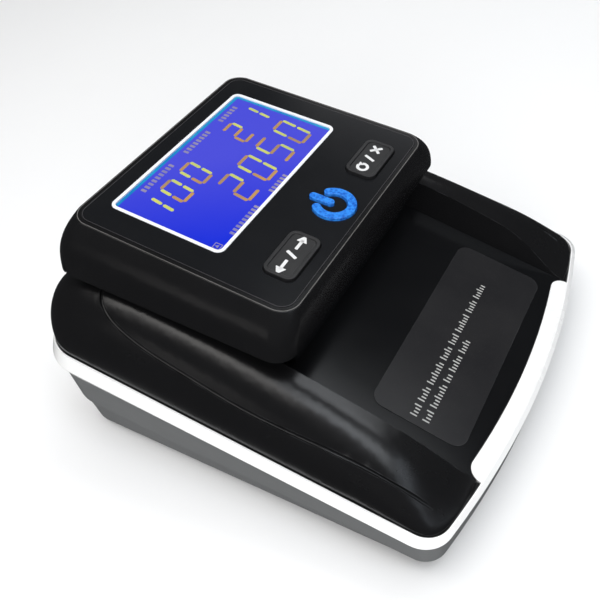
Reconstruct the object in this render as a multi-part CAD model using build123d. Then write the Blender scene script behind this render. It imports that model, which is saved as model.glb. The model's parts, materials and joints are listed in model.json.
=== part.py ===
from build123d import *
import math
import os

# Banknote counting machine. Millimetres, +X to the operator's right, +Y to the rear, +Z up.
# The origin is the middle of the footprint, on the surface that the feet stand on.

# ---- casing outline and the sloping planes that part its layers ----
BODY_W = 134.0
BODY_L = 146.4
FRONT_BOW, REAR_BOW = 290.0, 6000.0
FRONT_CORNER, REAR_CORNER = 9.0, 16.0
FOOT_H = 2.0
WALL = 2.0
STEP_Z, STEP_RISE = 11.05, 0.0741
PART_Z, PART_RISE = 22.45, 0.1145
BELT_Z, BELT_RISE = 25.7, 0.134
TOP_Z, TOP_RISE = 28.85, 0.16
SHADOW_GAP = 0.8

# ---- upper housing: how far its foot is set in, and its crown line (y, half width, z) ----
FOOT_SIDE, FOOT_FRONT, FOOT_REAR = 3.05, 1.8, 2.8
CROWN = [
    (-68.4, 40.5, 17.95),
    (-67.2, 47.0, 18.5),
    (-65.6, 51.0, 19.4),
    (-62.6, 51.0, 21.4),
    (-57.8, 50.0, 25.5),
    (-48.5, 48.6, 32.4),
    (-38.0, 47.8, 37.0),
    (-26.0, 47.4, 41.4),
    (-13.0, 47.3, 45.6),
    (0.0, 47.3, 49.3),
    (14.7, 47.5, 52.9),
    (30.0, 47.6, 56.0),
    (42.0, 47.8, 57.7),
    (50.0, 47.8, 58.2),
    (55.5, 47.8, 58.1),
    (60.0, 47.5, 57.5),
    (65.0, 46.8, 56.0),
    (68.3, 45.0, 53.6),
    (70.1, 42.5, 50.0),
]
GROOVE = [
    (47.0, 49.0),
    (44.5, 53.0),
    (32.0, 58.0),
    (12.0, 59.6),
    (-7.0, 60.2),
    (-25.0, 59.6),
    (-42.0, 58.5),
    (-55.0, 57.6),
    (-61.0, 57.2),
]
GROOVE_R, GROOVE_END_LIFT = 0.6, 0.5

# ---- note track: a plane that climbs from the front lip to the rear deck ----
TRACK_Y, TRACK_Z, TRACK_RISE = -66.0, 19.0, 0.3197
TRACK_HALF = 42.4
TRACK_LEN = 128.0
TRACK_WALL_SLOPE = 0.33
PLATE_T = 2.0
LIP_BOW_Y, LIP_CORNER_Y, LIP_CORNER_R = -67.3, -63.9, 4.0
NOTE_GAP = 1.5

# ---- rollers, shafts and belts ----
FEED_U, CARRY_U = 68.0, 106.0
ROLLER_R, ROLLER_W, ROLLER_X, ROLLER_PROUD = 9.0, 10.0, 20.0, 0.5
SHAFT_R, RUN_CLEAR = 2.0, 0.05
PINCH_R, PINCH_W, PINCH_AXLE_R, PINCH_GAP = 5.0, 8.0, 1.5, 0.3
PULLEY_R, MOTOR_PULLEY_R, FLANGE = 5.2, 3.3, 0.8
BELT_T, BELT_W, BELT_CLEAR = 0.8, 2.0, 0.3
BELT_X_FEED, BELT_X_MOTOR = 37.7, 40.5
FRAME_X, FRAME_T = 34.0, 1.5
MOTOR_Y, MOTOR_Z, MOTOR_R, MOTOR_L = 24.0, 18.0, 11.5, 30.0
MOTOR_SHAFT_R = 1.0
BUSH_R, TIE_R = 3.8, 1.5
ENCODER_X, ENCODER_R = -38.0, 6.0
SENSOR_U, MAGNET_U, WINDOW_U = 87.0, 82.0, 91.5
PINCH_N = ROLLER_PROUD + PINCH_GAP + PINCH_R

# ---- electronics in the base ----
PCB_HALF, PCB_Y0, PCB_Y1, PCB_Z, PCB_T = 43.0, -58.0, -27.0, 8.0, 1.6
POST_X, POST_INSET = 38.0, 5.0
INLET_X, INLET_Z, INLET_W = 42.0, 16.0, 9.0
SCREW_X, SCREW_FRONT_Y, SCREW_REAR_Y = 52.0, -42.0, 40.0
FOOT_X, FOOT_FRONT_Y, FOOT_REAR_Y, FOOT_R = 50.0, -55.5, 56.5, 5.5

# ---- head: a slab tilted back, floating over the shoulders ----
HEAD_Y, HEAD_Z, HEAD_TILT = -17.6, 64.4, 11.0
HEAD_HALF, HEAD_LEN, HEAD_CORNER = 44.2, 74.7, 6.0
HEAD_WALL = 1.8
HEAD_RINGS = [
    (0.0, 44.2, 0.0, 74.7, 6.0),
    (-1.2, 45.6, -0.7, 75.4, 6.2),
    (-5.5, 49.6, -2.3, 77.1, 6.6),
    (-11.5, 51.7, -3.2, 78.0, 6.6),
    (-17.5, 52.3, -3.5, 78.3, 6.4),
]
HEAD_FOOT_Y, HEAD_FOOT_Z, HEAD_FOOT_RISE = -18.8, 52.5, 0.135
BASE_TOP, BASE_BOTTOM = -8.4, -10.0
NECK_HALF, NECK_FRONT_Y, NECK_REAR_Y, NECK_WALL = 40.5, -13.0, 49.0, 1.8
HINGE_Y, HINGE_Z, HINGE_PIN_R, EYE_R = 54.5, 65.2, 1.2, 2.6
POST_X0, POST_T, EAR_X0, EAR_T = 43.0, 1.6, 44.8, 1.4

# ---- display and keys, placed on the head's top plane ----
PANEL_INSET, PANEL_T = 1.8, 0.6
LCD_HALF, LCD_S0, LCD_S1, LCD_CORNER, LCD_BORDER = 34.3, 28.0, 67.7, 2.5, 1.1
KEY_X, KEY_S, KEY_W, KEY_D, KEY_CORNER = 24.7, 10.6, 18.5, 10.5, 2.8
KEY_CLEAR, KEY_PROUD = 0.25, 1.0
ICON_R, ICON_STROKE, ICON_BAR_S, ICON_BAR_W = 5.45, 2.7, 18.8, 2.5
SWITCH_BOARD_TOP, SWITCH_BOARD_T = -7.0, 1.2
SLIT_S, SLIT_W = 73.0, 0.5

TRACK_ANGLE = math.atan(TRACK_RISE)
track = Plane(
    origin=(0, TRACK_Y, TRACK_Z),
    x_dir=(1, 0, 0),
    z_dir=(0, -math.sin(TRACK_ANGLE), math.cos(TRACK_ANGLE)),
)
tilt = math.radians(HEAD_TILT)
head = Plane(
    origin=(0, HEAD_Y, HEAD_Z),
    x_dir=(1, 0, 0),
    z_dir=(0, -math.sin(tilt), math.cos(tilt)),
)


# ---- small helpers ----
def slope_plane(z, rise):
    """A plane through (0, 0, z) that climbs by rise for each unit of y."""
    angle = math.atan(rise)
    return Plane(
        origin=(0, 0, z),
        x_dir=(1, 0, 0),
        z_dir=(0, -math.sin(angle), math.cos(angle)),
    )


def sagitta(radius, half_chord):
    return radius - math.sqrt(radius**2 - half_chord**2)


def outline(side, front, rear, rise=0.0):
    """Plan outline of the casing, each side set in by its own amount.

    On a sloping plane the length is stretched so that its plan stays the same.
    """
    stretch = math.hypot(1, rise)
    half = BODY_W / 2 - side
    y_front = -(BODY_L / 2 - front) * stretch
    y_rear = (BODY_L / 2 - rear) * stretch
    y_front_side = y_front + sagitta(FRONT_BOW, half)
    y_rear_side = y_rear - sagitta(REAR_BOW, half)
    face = make_face(
        [
            ThreePointArc((-half, y_front_side), (0, y_front), (half, y_front_side)),
            Line((half, y_front_side), (half, y_rear_side)),
            ThreePointArc((half, y_rear_side), (0, y_rear), (-half, y_rear_side)),
            Line((-half, y_rear_side), (-half, y_front_side)),
        ]
    )
    face = fillet(face.vertices().sort_by(Axis.Y)[:2], FRONT_CORNER - front)
    return fillet(face.vertices().sort_by(Axis.Y)[-2:], REAR_CORNER - rear)


def on_slope(z, rise, side, front, rear):
    return slope_plane(z, rise) * outline(side, front, rear, rise)


def corner_reach(half, y_end, bow, radius, y):
    """Half width of a bowed, round-cornered outline at y, with y_end its far edge."""
    centre = y_end - bow + math.sqrt((bow - radius) ** 2 - (half - radius) ** 2)
    if y <= centre:
        return half
    in_corner = (half - radius) + math.sqrt(max(radius**2 - (y - centre) ** 2, 0))
    on_bow = math.sqrt(max(bow**2 - (bow - y_end + y) ** 2, 0))
    tangent_x = (half - radius) * bow / (bow - radius)
    return in_corner if in_corner > tangent_x else on_bow


def foot_half(y):
    """Half width of the upper housing's foot at y."""
    half = BODY_W / 2 - FOOT_SIDE
    if y < 0:
        y_end = BODY_L / 2 - FOOT_FRONT
        return corner_reach(half, y_end, FRONT_BOW, FRONT_CORNER - FOOT_FRONT, -y)
    y_end = BODY_L / 2 - FOOT_REAR
    return corner_reach(half, y_end, REAR_BOW, REAR_CORNER - FOOT_REAR, y)


def top_z(y):
    return TOP_Z + TOP_RISE * y


def track_point(u, n):
    """y and z of a point u along the note track and n above it."""
    y = TRACK_Y + u * math.cos(TRACK_ANGLE) - n * math.sin(TRACK_ANGLE)
    z = TRACK_Z + u * math.sin(TRACK_ANGLE) + n * math.cos(TRACK_ANGLE)
    return y, z


def box(plane, x0, x1, y0, y1, z0, z1):
    """A box by its limits in a plane's own axes."""
    rect = Pos((x0 + x1) / 2, (y0 + y1) / 2, z0) * Rectangle(x1 - x0, y1 - y0)
    return plane * extrude(rect, z1 - z0)


def pad(plane, x, y, width, depth, corner, z0, z1):
    """A round-cornered slab centred on x and y in a plane's own axes."""
    rect = Pos(x, y, z0) * RectangleRounded(width, depth, corner)
    return plane * extrude(rect, z1 - z0)


def rod(x0, x1, y, z, radius):
    """A round bar along X."""
    return Pos(x0, y, z) * Rot(0, 90, 0) * Cylinder(
        radius, x1 - x0, align=(Align.CENTER, Align.CENTER, Align.MIN)
    )


def both_sides(shape):
    return shape + mirror(shape, about=Plane.YZ)


# ---- lower case and trim band ----
def make_lower_case():
    chamfer_h = 1.0
    tier = loft(
        [
            Pos(0, 0, FOOT_H) * outline(4.6, 4.6, 4.6),
            Pos(0, 0, FOOT_H + chamfer_h) * outline(3.6, 3.6, 3.6),
        ],
        ruled=True,
    )
    tier += loft(
        [
            Pos(0, 0, FOOT_H + chamfer_h) * outline(3.6, 3.6, 3.6),
            on_slope(STEP_Z, STEP_RISE, 2.6, 2.6, 2.6),
        ],
        ruled=True,
    )
    tier += loft(
        [
            on_slope(STEP_Z, STEP_RISE, 1.8, 1.8, 1.8),
            on_slope(PART_Z, PART_RISE, 1.4, 1.4, 1.4),
        ],
        ruled=True,
    )
    floor_z = FOOT_H + WALL
    hollow = loft(
        [
            Pos(0, 0, floor_z) * outline(6.0, 6.0, 6.0),
            on_slope(PART_Z + 1, PART_RISE, 4.1, 4.1, 4.1),
        ],
        ruled=True,
    )
    case = tier - hollow
    start = (Align.CENTER, Align.CENTER, Align.MIN)
    for x, y in case_screw_places():
        boss = Pos(x, y, FOOT_H) * Cylinder(3.6, 8.5, align=start)
        hole = Pos(x, y, FOOT_H) * Cylinder(1.6, 20, align=start)
        sink = Pos(x, y, FOOT_H) * Cylinder(3.0, 1.8, align=start)
        case = case + boss - hole - sink
    inlet = Pos(INLET_X, BODY_L / 2 - 8, INLET_Z) * Box(INLET_W + 0.4, 20, INLET_W + 0.4)
    return case - inlet


def case_screw_places():
    return [(x, y) for x in (-SCREW_X, SCREW_X) for y in (SCREW_FRONT_Y, SCREW_REAR_Y)]


def lip_face(grow):
    """Plan of the wide front lip, grown by a joint gap."""
    half = TRACK_HALF - 0.2 + grow
    rear = LIP_CORNER_Y + grow
    far = -90.0
    face = make_face(
        [
            Line((-half, far), (-half, rear)),
            ThreePointArc((-half, rear), (0, LIP_BOW_Y + grow), (half, rear)),
            Line((half, rear), (half, far)),
            Line((half, far), (-half, far)),
        ]
    )
    return fillet(face.vertices().sort_by(Axis.Y)[-2:], LIP_CORNER_R)


def make_trim_band():
    ring = loft(
        [
            on_slope(PART_Z + SHADOW_GAP, PART_RISE, 1.2, 1.0, 1.0),
            on_slope(BELT_Z, BELT_RISE, 0.0, 0.0, 0.0),
        ],
        ruled=True,
    )
    ring += loft(
        [
            on_slope(BELT_Z, BELT_RISE, 0.0, 0.0, 0.0),
            on_slope(TOP_Z, TOP_RISE, 2.2, 1.1, 1.9),
        ],
        ruled=True,
    )
    bore = loft(
        [
            on_slope(PART_Z - 1, PART_RISE, 2.7, 1.5, 2.4),
            on_slope(TOP_Z + 1, TOP_RISE, 2.7, 1.5, 2.4),
        ],
        ruled=True,
    )
    lip = extrude(lip_face(0), 60) & loft(
        [
            on_slope(PART_Z + SHADOW_GAP, PART_RISE, 1.2, 1.3, 1.5),
            on_slope(TOP_Z + 12, TOP_RISE, 1.2, 1.3, 1.5),
        ],
        ruled=True,
    )
    lip -= box(track, -90, 90, -60, 60, -0.1, 60)
    return (ring - bore) + lip


# ---- upper case ----
def crown_section(y, half, z, inset):
    """Cross-section of the upper housing at y: flat top, quarter-ellipse shoulders."""
    foot = foot_half(y) - inset
    crown = half - inset
    base = top_z(y)
    low = PART_Z + PART_RISE * y - (1.0 if inset else 0.0)
    top = z - inset
    plane = Plane(origin=(0, y, 0), x_dir=(1, 0, 0), z_dir=(0, -1, 0))
    right = EllipticalCenterArc((crown, base), foot - crown, top - base, 0, arc_size=90)
    left = EllipticalCenterArc((-crown, base), foot - crown, top - base, 90, arc_size=90)
    face = make_face(
        [
            Line((-foot, low), (foot, low)),
            Line((foot, low), (foot, base)),
            right,
            Line((crown, top), (-crown, top)),
            left,
            Line((-foot, base), (-foot, low)),
        ]
    )
    return plane * face


def sculpt(inset, first, last):
    """The sculpted upper housing as a solid, set in from the outer skin."""
    return loft([crown_section(*CROWN[i], inset) for i in range(first, last)])


def channel(side, below, end):
    """The note channel between the shoulders, its walls leaning outwards above the track."""
    height = 45.0
    half = TRACK_HALF + side
    wide = half + height * TRACK_WALL_SLOPE
    section = make_face(
        Polyline(
            (-half, -below),
            (half, -below),
            (half, 0),
            (wide, height),
            (-wide, height),
            (-half, 0),
            close=True,
        )
    )
    start = -30.0
    up = Plane(
        origin=track.from_local_coords((0, start, 0)),
        x_dir=(1, 0, 0),
        z_dir=-track.y_dir,
    )
    return up * extrude(section, -(end - start))


def surface_z(y, x):
    """Height of the shoulder's skin at y and x."""
    for (y0, h0, z0), (y1, h1, z1) in zip(CROWN, CROWN[1:]):
        if y0 <= y <= y1:
            t = (y - y0) / (y1 - y0)
            crown, top = h0 + t * (h1 - h0), z0 + t * (z1 - z0)
            part = (x - crown) / (foot_half(y) - crown)
            rise = math.sqrt(max(1 - max(part, 0) ** 2, 0))
            return top_z(y) + (top - top_z(y)) * rise
    return 0.0


def shoulder_groove():
    """A round-bottomed groove that runs down the right shoulder."""
    points = [(x, y, surface_z(y, x)) for y, x in GROOVE]
    x, y, z = points[-1]
    points[-1] = (x, y, z + GROOVE_END_LIFT)
    path = Spline(points)
    start = Plane(origin=path @ 0, z_dir=path % 0)
    return sweep(start * Circle(GROOVE_R), path)


def make_upper_case():
    hollow = sculpt(WALL, 4, len(CROWN) - 1) - channel(WALL, 5.0, TRACK_LEN + WALL)
    case = sculpt(0, 0, len(CROWN)) - hollow
    case -= channel(0, 60.0, TRACK_LEN)
    case -= extrude(lip_face(0.2), 60)
    case -= both_sides(shoulder_groove())
    return case + hinge_posts()


def hinge_posts():
    """Two ears on the shoulders, outside the note's width, that hold the head's pins."""
    x1 = POST_X0 + POST_T
    rooted_z = 56.5
    post = rod(POST_X0, x1, HINGE_Y, HINGE_Z, EYE_R)
    post += Pos((POST_X0 + x1) / 2, HINGE_Y, (rooted_z + HINGE_Z) / 2) * Box(
        POST_T, 2 * EYE_R, HINGE_Z - rooted_z
    )
    post -= rod(POST_X0 - 1, x1 + 1, HINGE_Y, HINGE_Z, HINGE_PIN_R + RUN_CLEAR)
    return both_sides(post)


# ---- note track ----
def make_feed_tray():
    half = TRACK_HALF - 0.15
    plate = box(track, -half, half, -8, TRACK_LEN - 0.2, -PLATE_T, 0)
    plate -= extrude(lip_face(0.2), 60)
    for u in (FEED_U, CARRY_U):
        for x in (-ROLLER_X, ROLLER_X):
            plate -= pad(track, x, u, ROLLER_W + 1.6, 15.0, 1.0, -4, 4)
    plate -= pad(track, 0, SENSOR_U, 62, 8.0, 1.0, -4, 4)
    for x in (-FRAME_X - FRAME_T / 2, FRAME_X + FRAME_T / 2):
        plate -= track * Pos(x, 120.0, 0) * Cylinder(0.9, 6)
    return plate


def make_tray_label():
    u0 = (-61.2 - TRACK_Y) / math.cos(TRACK_ANGLE)
    u1 = (-33.3 - TRACK_Y) / math.cos(TRACK_ANGLE)
    return pad(track, 0, (u0 + u1) / 2, 73.0, u1 - u0, 4.0, 0, 0.2)


def make_sensor_window_lower():
    return pad(track, 0, SENSOR_U, 61.8, 7.8, 0.9, -1.7, -0.1)


def make_sensor_board_lower():
    board = pad(track, 0, SENSOR_U, 64, 14, 1.0, -6.2, -5.0)
    for i in range(7):
        board += pad(track, -27 + 9 * i, SENSOR_U, 4.0, 3.2, 0.4, -5.0, -2.6)
    return board


# ---- drive ----
FEED_Y, FEED_Z = track_point(FEED_U, ROLLER_PROUD - ROLLER_R)
CARRY_Y, CARRY_Z = track_point(CARRY_U, ROLLER_PROUD - ROLLER_R)


def make_side_frame(side):
    """A plate under the track that carries both shafts."""
    floor_z = FOOT_H + WALL
    y0, z0 = track_point(42, -PLATE_T - 0.05)
    y1, z1 = track_point(125, -PLATE_T - 0.05)
    profile = make_face(
        Polyline(
            (y0, floor_z),
            (y0, z0),
            (y1, z1),
            (y1, floor_z + 14),
            (y1 - 14, floor_z),
            close=True,
        )
    )
    x0 = FRAME_X if side > 0 else -FRAME_X - FRAME_T
    plate = Plane(origin=(x0, 0, 0), x_dir=(0, 1, 0), z_dir=(1, 0, 0)) * extrude(
        profile, FRAME_T
    )
    for y, z in ((FEED_Y, FEED_Z), (CARRY_Y, CARRY_Z)):
        plate -= rod(x0 - 1, x0 + FRAME_T + 1, y, z, BUSH_R)
    for y, z in tie_places():
        plate -= rod(x0 - 1, x0 + FRAME_T + 1, y, z, TIE_R)
    if side > 0:
        plate -= rod(x0 - 1, x0 + FRAME_T + 1, MOTOR_Y, MOTOR_Z, 3.6)
        for y in (-8, 8):
            plate -= rod(x0 - 1, x0 + FRAME_T + 1, MOTOR_Y + y, MOTOR_Z, 1.1)
    window = Pos(x0 + FRAME_T / 2, 5.0, 14.0) * Box(6, 14, 9)
    return plate - window


def tie_places():
    return [(-18.0, 12.0), (42.0, 12.0)]


def make_frame_tie_rods():
    reach = FRAME_X + FRAME_T
    return Compound([rod(-reach, reach, y, z, TIE_R) for y, z in tie_places()])


def make_shaft_bushes():
    """Four flanged bushes, one for each end of each shaft."""
    bushes = []
    for y, z in ((FEED_Y, FEED_Z), (CARRY_Y, CARRY_Z)):
        for side in (-1, 1):
            inner = side * (FRAME_X - 1.2)
            outer = side * (FRAME_X + FRAME_T)
            flange = side * FRAME_X
            body = rod(min(inner, outer), max(inner, outer), y, z, BUSH_R)
            body += rod(min(inner, flange), max(inner, flange), y, z, BUSH_R + 1.2)
            bushes.append(body - rod(-60, 60, y, z, SHAFT_R + RUN_CLEAR))
    return Compound(bushes)


def make_rollers(y, z, radius, width, bore, grooves):
    """A pair of rubber rollers with shallow grip grooves."""
    rollers = []
    for side in (-1, 1):
        mid = side * ROLLER_X
        roller = rod(mid - width / 2, mid + width / 2, y, z, radius)
        roller -= rod(mid - width, mid + width, y, z, bore)
        for i in range(grooves):
            x = mid + (i - (grooves - 1) / 2) * width / (grooves + 1)
            ring = rod(x - 0.3, x + 0.3, y, z, radius + 1)
            roller -= ring - rod(x - 1, x + 1, y, z, radius - 0.5)
        rollers.append(roller)
    return Compound(rollers)


def make_pulley(y, z, radius, bore, tracks):
    """A flanged pulley with one groove for each belt."""
    x0 = min(tracks) - BELT_W / 2 - 0.4
    x1 = max(tracks) + BELT_W / 2 + 0.4
    pulley = rod(x0, x1, y, z, radius + FLANGE)
    for x in tracks:
        band = rod(x - BELT_W / 2, x + BELT_W / 2, y, z, radius + 3)
        pulley -= band - rod(x - BELT_W, x + BELT_W, y, z, radius)
    return pulley - rod(x0 - 1, x1 + 1, y, z, bore)


def belt_loop(x, y0, z0, r0, y1, z1, r1, grow):
    """The outside of a belt run tightly round two pulleys."""
    gap = math.hypot(y1 - y0, z1 - z0)
    along = math.atan2(z1 - z0, y1 - y0)
    lean = math.acos((r0 - r1) / gap)
    ends = []
    for side in (1, -1):
        a = along + side * lean
        ends.append(((y0 + (r0 + grow) * math.cos(a)), (z0 + (r0 + grow) * math.sin(a))))
        ends.append(((y1 + (r1 + grow) * math.cos(a)), (z1 + (r1 + grow) * math.sin(a))))
    far = (y1 + (r1 + grow) * math.cos(along), z1 + (r1 + grow) * math.sin(along))
    near = (y0 - (r0 + grow) * math.cos(along), z0 - (r0 + grow) * math.sin(along))
    face = make_face(
        [
            Line(ends[0], ends[1]),
            ThreePointArc(ends[1], far, ends[3]),
            Line(ends[3], ends[2]),
            ThreePointArc(ends[2], near, ends[0]),
        ]
    )
    width = BELT_W - 0.4
    start = Plane(origin=(x - width / 2, 0, 0), x_dir=(0, 1, 0), z_dir=(1, 0, 0))
    return start * extrude(face, width)


def make_belt(x, y0, z0, r0, y1, z1, r1):
    outside = belt_loop(x, y0, z0, r0, y1, z1, r1, BELT_CLEAR + BELT_T)
    inside = belt_loop(x, y0, z0, r0, y1, z1, r1, BELT_CLEAR)
    return outside - inside


def make_encoder_disc():
    """A slotted disc with a hub, on the left end of the feed shaft."""
    slots, slot_ring, slot_r = 8, 4.7, 0.7
    disc = rod(ENCODER_X - 0.4, ENCODER_X + 0.4, FEED_Y, FEED_Z, ENCODER_R)
    disc += rod(ENCODER_X + 0.4, ENCODER_X + 1.6, FEED_Y, FEED_Z, 3.2)
    disc -= rod(ENCODER_X - 2, ENCODER_X + 8, FEED_Y, FEED_Z, SHAFT_R)
    for i in range(slots):
        a = 2 * math.pi * i / slots
        y = FEED_Y + slot_ring * math.cos(a)
        z = FEED_Z + slot_ring * math.sin(a)
        disc -= rod(ENCODER_X - 1, ENCODER_X + 1, y, z, slot_r)
    return disc


def make_encoder_sensor():
    """A slotted light gate that straddles the encoder disc's lower edge."""
    low = FEED_Z - 11.0
    body = Pos(ENCODER_X, FEED_Y, low + 3.7) * Box(4.4, 5.0, 7.4)
    slot = Pos(ENCODER_X, FEED_Y, low + 6.5) * Box(1.8, 6.0, 5.0)
    stalk = Pos(ENCODER_X + 1.65, FEED_Y, low - 1.5) * Box(1.7, 5.0, 3.2)
    return body - slot + stalk


def make_drive_motor():
    x1 = FRAME_X
    motor = rod(x1 - MOTOR_L, x1 - 2.0, MOTOR_Y, MOTOR_Z, MOTOR_R)
    motor += rod(x1 - 2.0, x1, MOTOR_Y, MOTOR_Z, MOTOR_R - 1.5)
    motor += rod(x1, x1 + 1.2, MOTOR_Y, MOTOR_Z, 3.4)
    motor += rod(x1 - MOTOR_L - 1.5, x1 - MOTOR_L, MOTOR_Y, MOTOR_Z, 4.0)
    motor -= rod(x1 - MOTOR_L + 4, x1 + 5, MOTOR_Y, MOTOR_Z, MOTOR_SHAFT_R + RUN_CLEAR)
    return motor


# ---- boards, inlet, feet and screws in the base ----
def make_main_board():
    mid_y = (PCB_Y0 + PCB_Y1) / 2
    top = PCB_Z + PCB_T
    board = pad(Plane.XY, 0, mid_y, 2 * PCB_HALF, PCB_Y1 - PCB_Y0, 1.5, PCB_Z, top)
    for x, y in post_places():
        board -= Pos(x, y, PCB_Z) * Cylinder(1.6, 4)
    return board


def post_places():
    return [(x, y) for x in (-POST_X, POST_X) for y in (PCB_Y0 + POST_INSET, PCB_Y1 - POST_INSET)]


def make_board_standoffs():
    posts = []
    below = PCB_Z - FOOT_H - WALL
    for x, y in post_places():
        post = Pos(x, y, PCB_Z - below / 2) * Cylinder(2.6, below)
        posts.append(post + Pos(x, y, PCB_Z + 0.8) * Cylinder(1.55, 2.4))
    return Compound(posts)


def make_board_parts():
    """Chips, connectors and capacitors on the main board."""
    top = PCB_Z + PCB_T
    parts = [
        Pos(-16, -44, top + 0.6) * Box(12, 12, 1.2),
        Pos(4, -46, top + 0.5) * Box(8, 5, 1.0),
        Pos(20, -32, top + 2.5) * Box(14, 5, 5.0),
        Pos(-24, -31, top + 2.5) * Box(12, 5, 5.0),
        Pos(26, -48, top + 3.0) * Cylinder(3.0, 6.0),
        Pos(16, -40, top + 0.75) * Box(5, 7, 1.5),
    ]
    return Compound(parts)


def make_buzzer():
    place = Pos(-30, -47, PCB_Z + PCB_T)
    can = place * Pos(0, 0, 2.8) * Cylinder(4.6, 5.6)
    return can - place * Pos(0, 0, 4.6) * Cylinder(1.0, 3.0)


def make_dc_jack():
    y1 = BODY_L / 2 - 2.55
    body = Pos(INLET_X, y1 - 6.5, INLET_Z) * Box(INLET_W, 13.0, INLET_W)
    socket = Pos(INLET_X, y1, INLET_Z) * Rot(90, 0, 0) * Cylinder(3.1, 18.0)
    pin = Pos(INLET_X, y1 - 5.2, INLET_Z) * Rot(90, 0, 0) * Cylinder(1.0, 8.4)
    return body - socket + pin


def make_feet():
    foot = Cylinder(FOOT_R, FOOT_H, align=(Align.CENTER, Align.CENTER, Align.MIN))
    foot = chamfer(foot.edges().group_by(Axis.Z)[0], 0.5)
    places = [(x, y) for x in (-FOOT_X, FOOT_X) for y in (FOOT_FRONT_Y, FOOT_REAR_Y)]
    return Compound([Pos(x, y, 0) * foot for x, y in places])


def make_case_screws():
    screws = []
    start = (Align.CENTER, Align.CENTER, Align.MIN)
    for x, y in case_screw_places():
        head_part = Pos(x, y, FOOT_H + 0.4) * Cylinder(2.8, 1.4, align=start)
        stem = Pos(x, y, FOOT_H + 1.8) * Cylinder(1.5, 9.0, align=start)
        slots = Pos(x, y, FOOT_H + 0.6) * Box(3.4, 0.7, 1.0)
        slots += Pos(x, y, FOOT_H + 0.6) * Box(0.7, 3.4, 1.0)
        screws.append(head_part + stem - slots)
    return Compound(screws)


# ---- head ----
def head_ring(n, half, s0, s1, corner, inset):
    rect = RectangleRounded(
        2 * (half - inset), s1 - s0 - 2 * inset, max(corner - inset, 1.0)
    )
    return head * Pos(0, (s0 + s1) / 2, n) * rect


def head_slab(inset, drop):
    rings = [head_ring(n - drop, a, b, c, d, inset) for n, a, b, c, d in HEAD_RINGS]
    return loft(rings, ruled=False)


def key_pad(x, grow, corner_grow, n0, n1):
    return pad(
        head, x, KEY_S, KEY_W + 2 * grow, KEY_D + 2 * grow, KEY_CORNER + corner_grow, n0, n1
    )


def power_icon(grow, n0, n1):
    """Three-quarter ring, open to the rear, with a bar in its opening."""
    outer = ICON_R + ICON_STROKE / 2 + grow
    inner = ICON_R - ICON_STROKE / 2 - grow
    half_open = math.radians(45)
    end = ICON_STROKE / 2 + grow
    ring = Circle(outer) - Circle(inner)
    wedge = make_face(
        Polyline(
            (0, 0),
            (20 * math.sin(half_open), 20 * math.cos(half_open)),
            (-20 * math.sin(half_open), 20 * math.cos(half_open)),
            close=True,
        )
    )
    ring -= wedge
    for side in (-1, 1):
        x = side * ICON_R * math.sin(half_open)
        y = ICON_R * math.cos(half_open)
        ring += Pos(x, y) * Circle(end)
    bar_len = ICON_BAR_S - KEY_S
    bar_w = ICON_BAR_W + 2 * grow
    bar = Pos(0, bar_len / 2) * SlotOverall(bar_len + 2 * grow, bar_w, rotation=90)
    shape = Pos(0, KEY_S, n0)
    return head * (shape * extrude(ring, n1 - n0)) + head * (shape * extrude(bar, n1 - n0))


def lcd_pad(inset, n0, n1):
    return pad(
        head,
        0,
        (LCD_S0 + LCD_S1) / 2,
        2 * (LCD_HALF - inset),
        LCD_S1 - LCD_S0 - 2 * inset,
        LCD_CORNER - min(inset, 1.2),
        n0,
        n1,
    )


def panel_pad(inset, n0, n1):
    mid = HEAD_LEN / 2
    width = 2 * (HEAD_HALF - PANEL_INSET - inset)
    depth = HEAD_LEN - 2 * (PANEL_INSET + inset)
    return pad(head, 0, mid, width, depth, HEAD_CORNER - PANEL_INSET, n0, n1)


def make_head_shell():
    foot = HEAD_FOOT_Z - HEAD_FOOT_Y * HEAD_FOOT_RISE
    above = box(slope_plane(foot, HEAD_FOOT_RISE), -90, 90, -90, 90, 0, 60)
    shell = (head_slab(0, 0) & above) - head_slab(HEAD_WALL, 2.0)
    shell -= panel_pad(-0.1, -PANEL_T, 2)
    shell -= lcd_pad(-0.1, -4, 2)
    for x in (-KEY_X, KEY_X):
        shell -= key_pad(x, 0.0, 0.0, -4, 2)
    shell -= power_icon(KEY_CLEAR, -4, 2)
    for side in (-1, 1):
        shell -= box(head, side * 51 - 4, side * 51 + 4, SLIT_S, SLIT_S + SLIT_W, -20, -11)
    return shell


def make_face_plate():
    plate = panel_pad(0, -PANEL_T + 0.02, 0.05)
    plate -= lcd_pad(-0.08, -3, 3)
    for x in (-KEY_X, KEY_X):
        plate -= key_pad(x, 0.0, 0.0, -3, 3)
    return plate - power_icon(KEY_CLEAR, -3, 3)


def make_lcd_bezel():
    frame = lcd_pad(0, -2.6, 0.12)
    return frame - lcd_pad(LCD_BORDER, -3, 3)


def make_lcd_panel():
    return lcd_pad(LCD_BORDER + 0.02, -2.4, -0.35)


def make_lcd_backlight():
    return lcd_pad(LCD_BORDER + 0.6, -6.4, -2.65)


def make_display_board():
    bottom = SWITCH_BOARD_TOP - SWITCH_BOARD_T
    return pad(head, 0, HEAD_LEN / 2, 80.0, 66.0, 3.0, bottom, SWITCH_BOARD_TOP)


def make_tact_switches():
    switches = []
    for x in (-KEY_X, 0, KEY_X):
        base = pad(head, x, KEY_S, 6.0, 6.0, 0.5, SWITCH_BOARD_TOP, SWITCH_BOARD_TOP + 1.6)
        knob = head * Pos(x, KEY_S, SWITCH_BOARD_TOP + 1.85) * Cylinder(1.6, 0.5)
        switches.append(base + knob)
    return Compound(switches)


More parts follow.
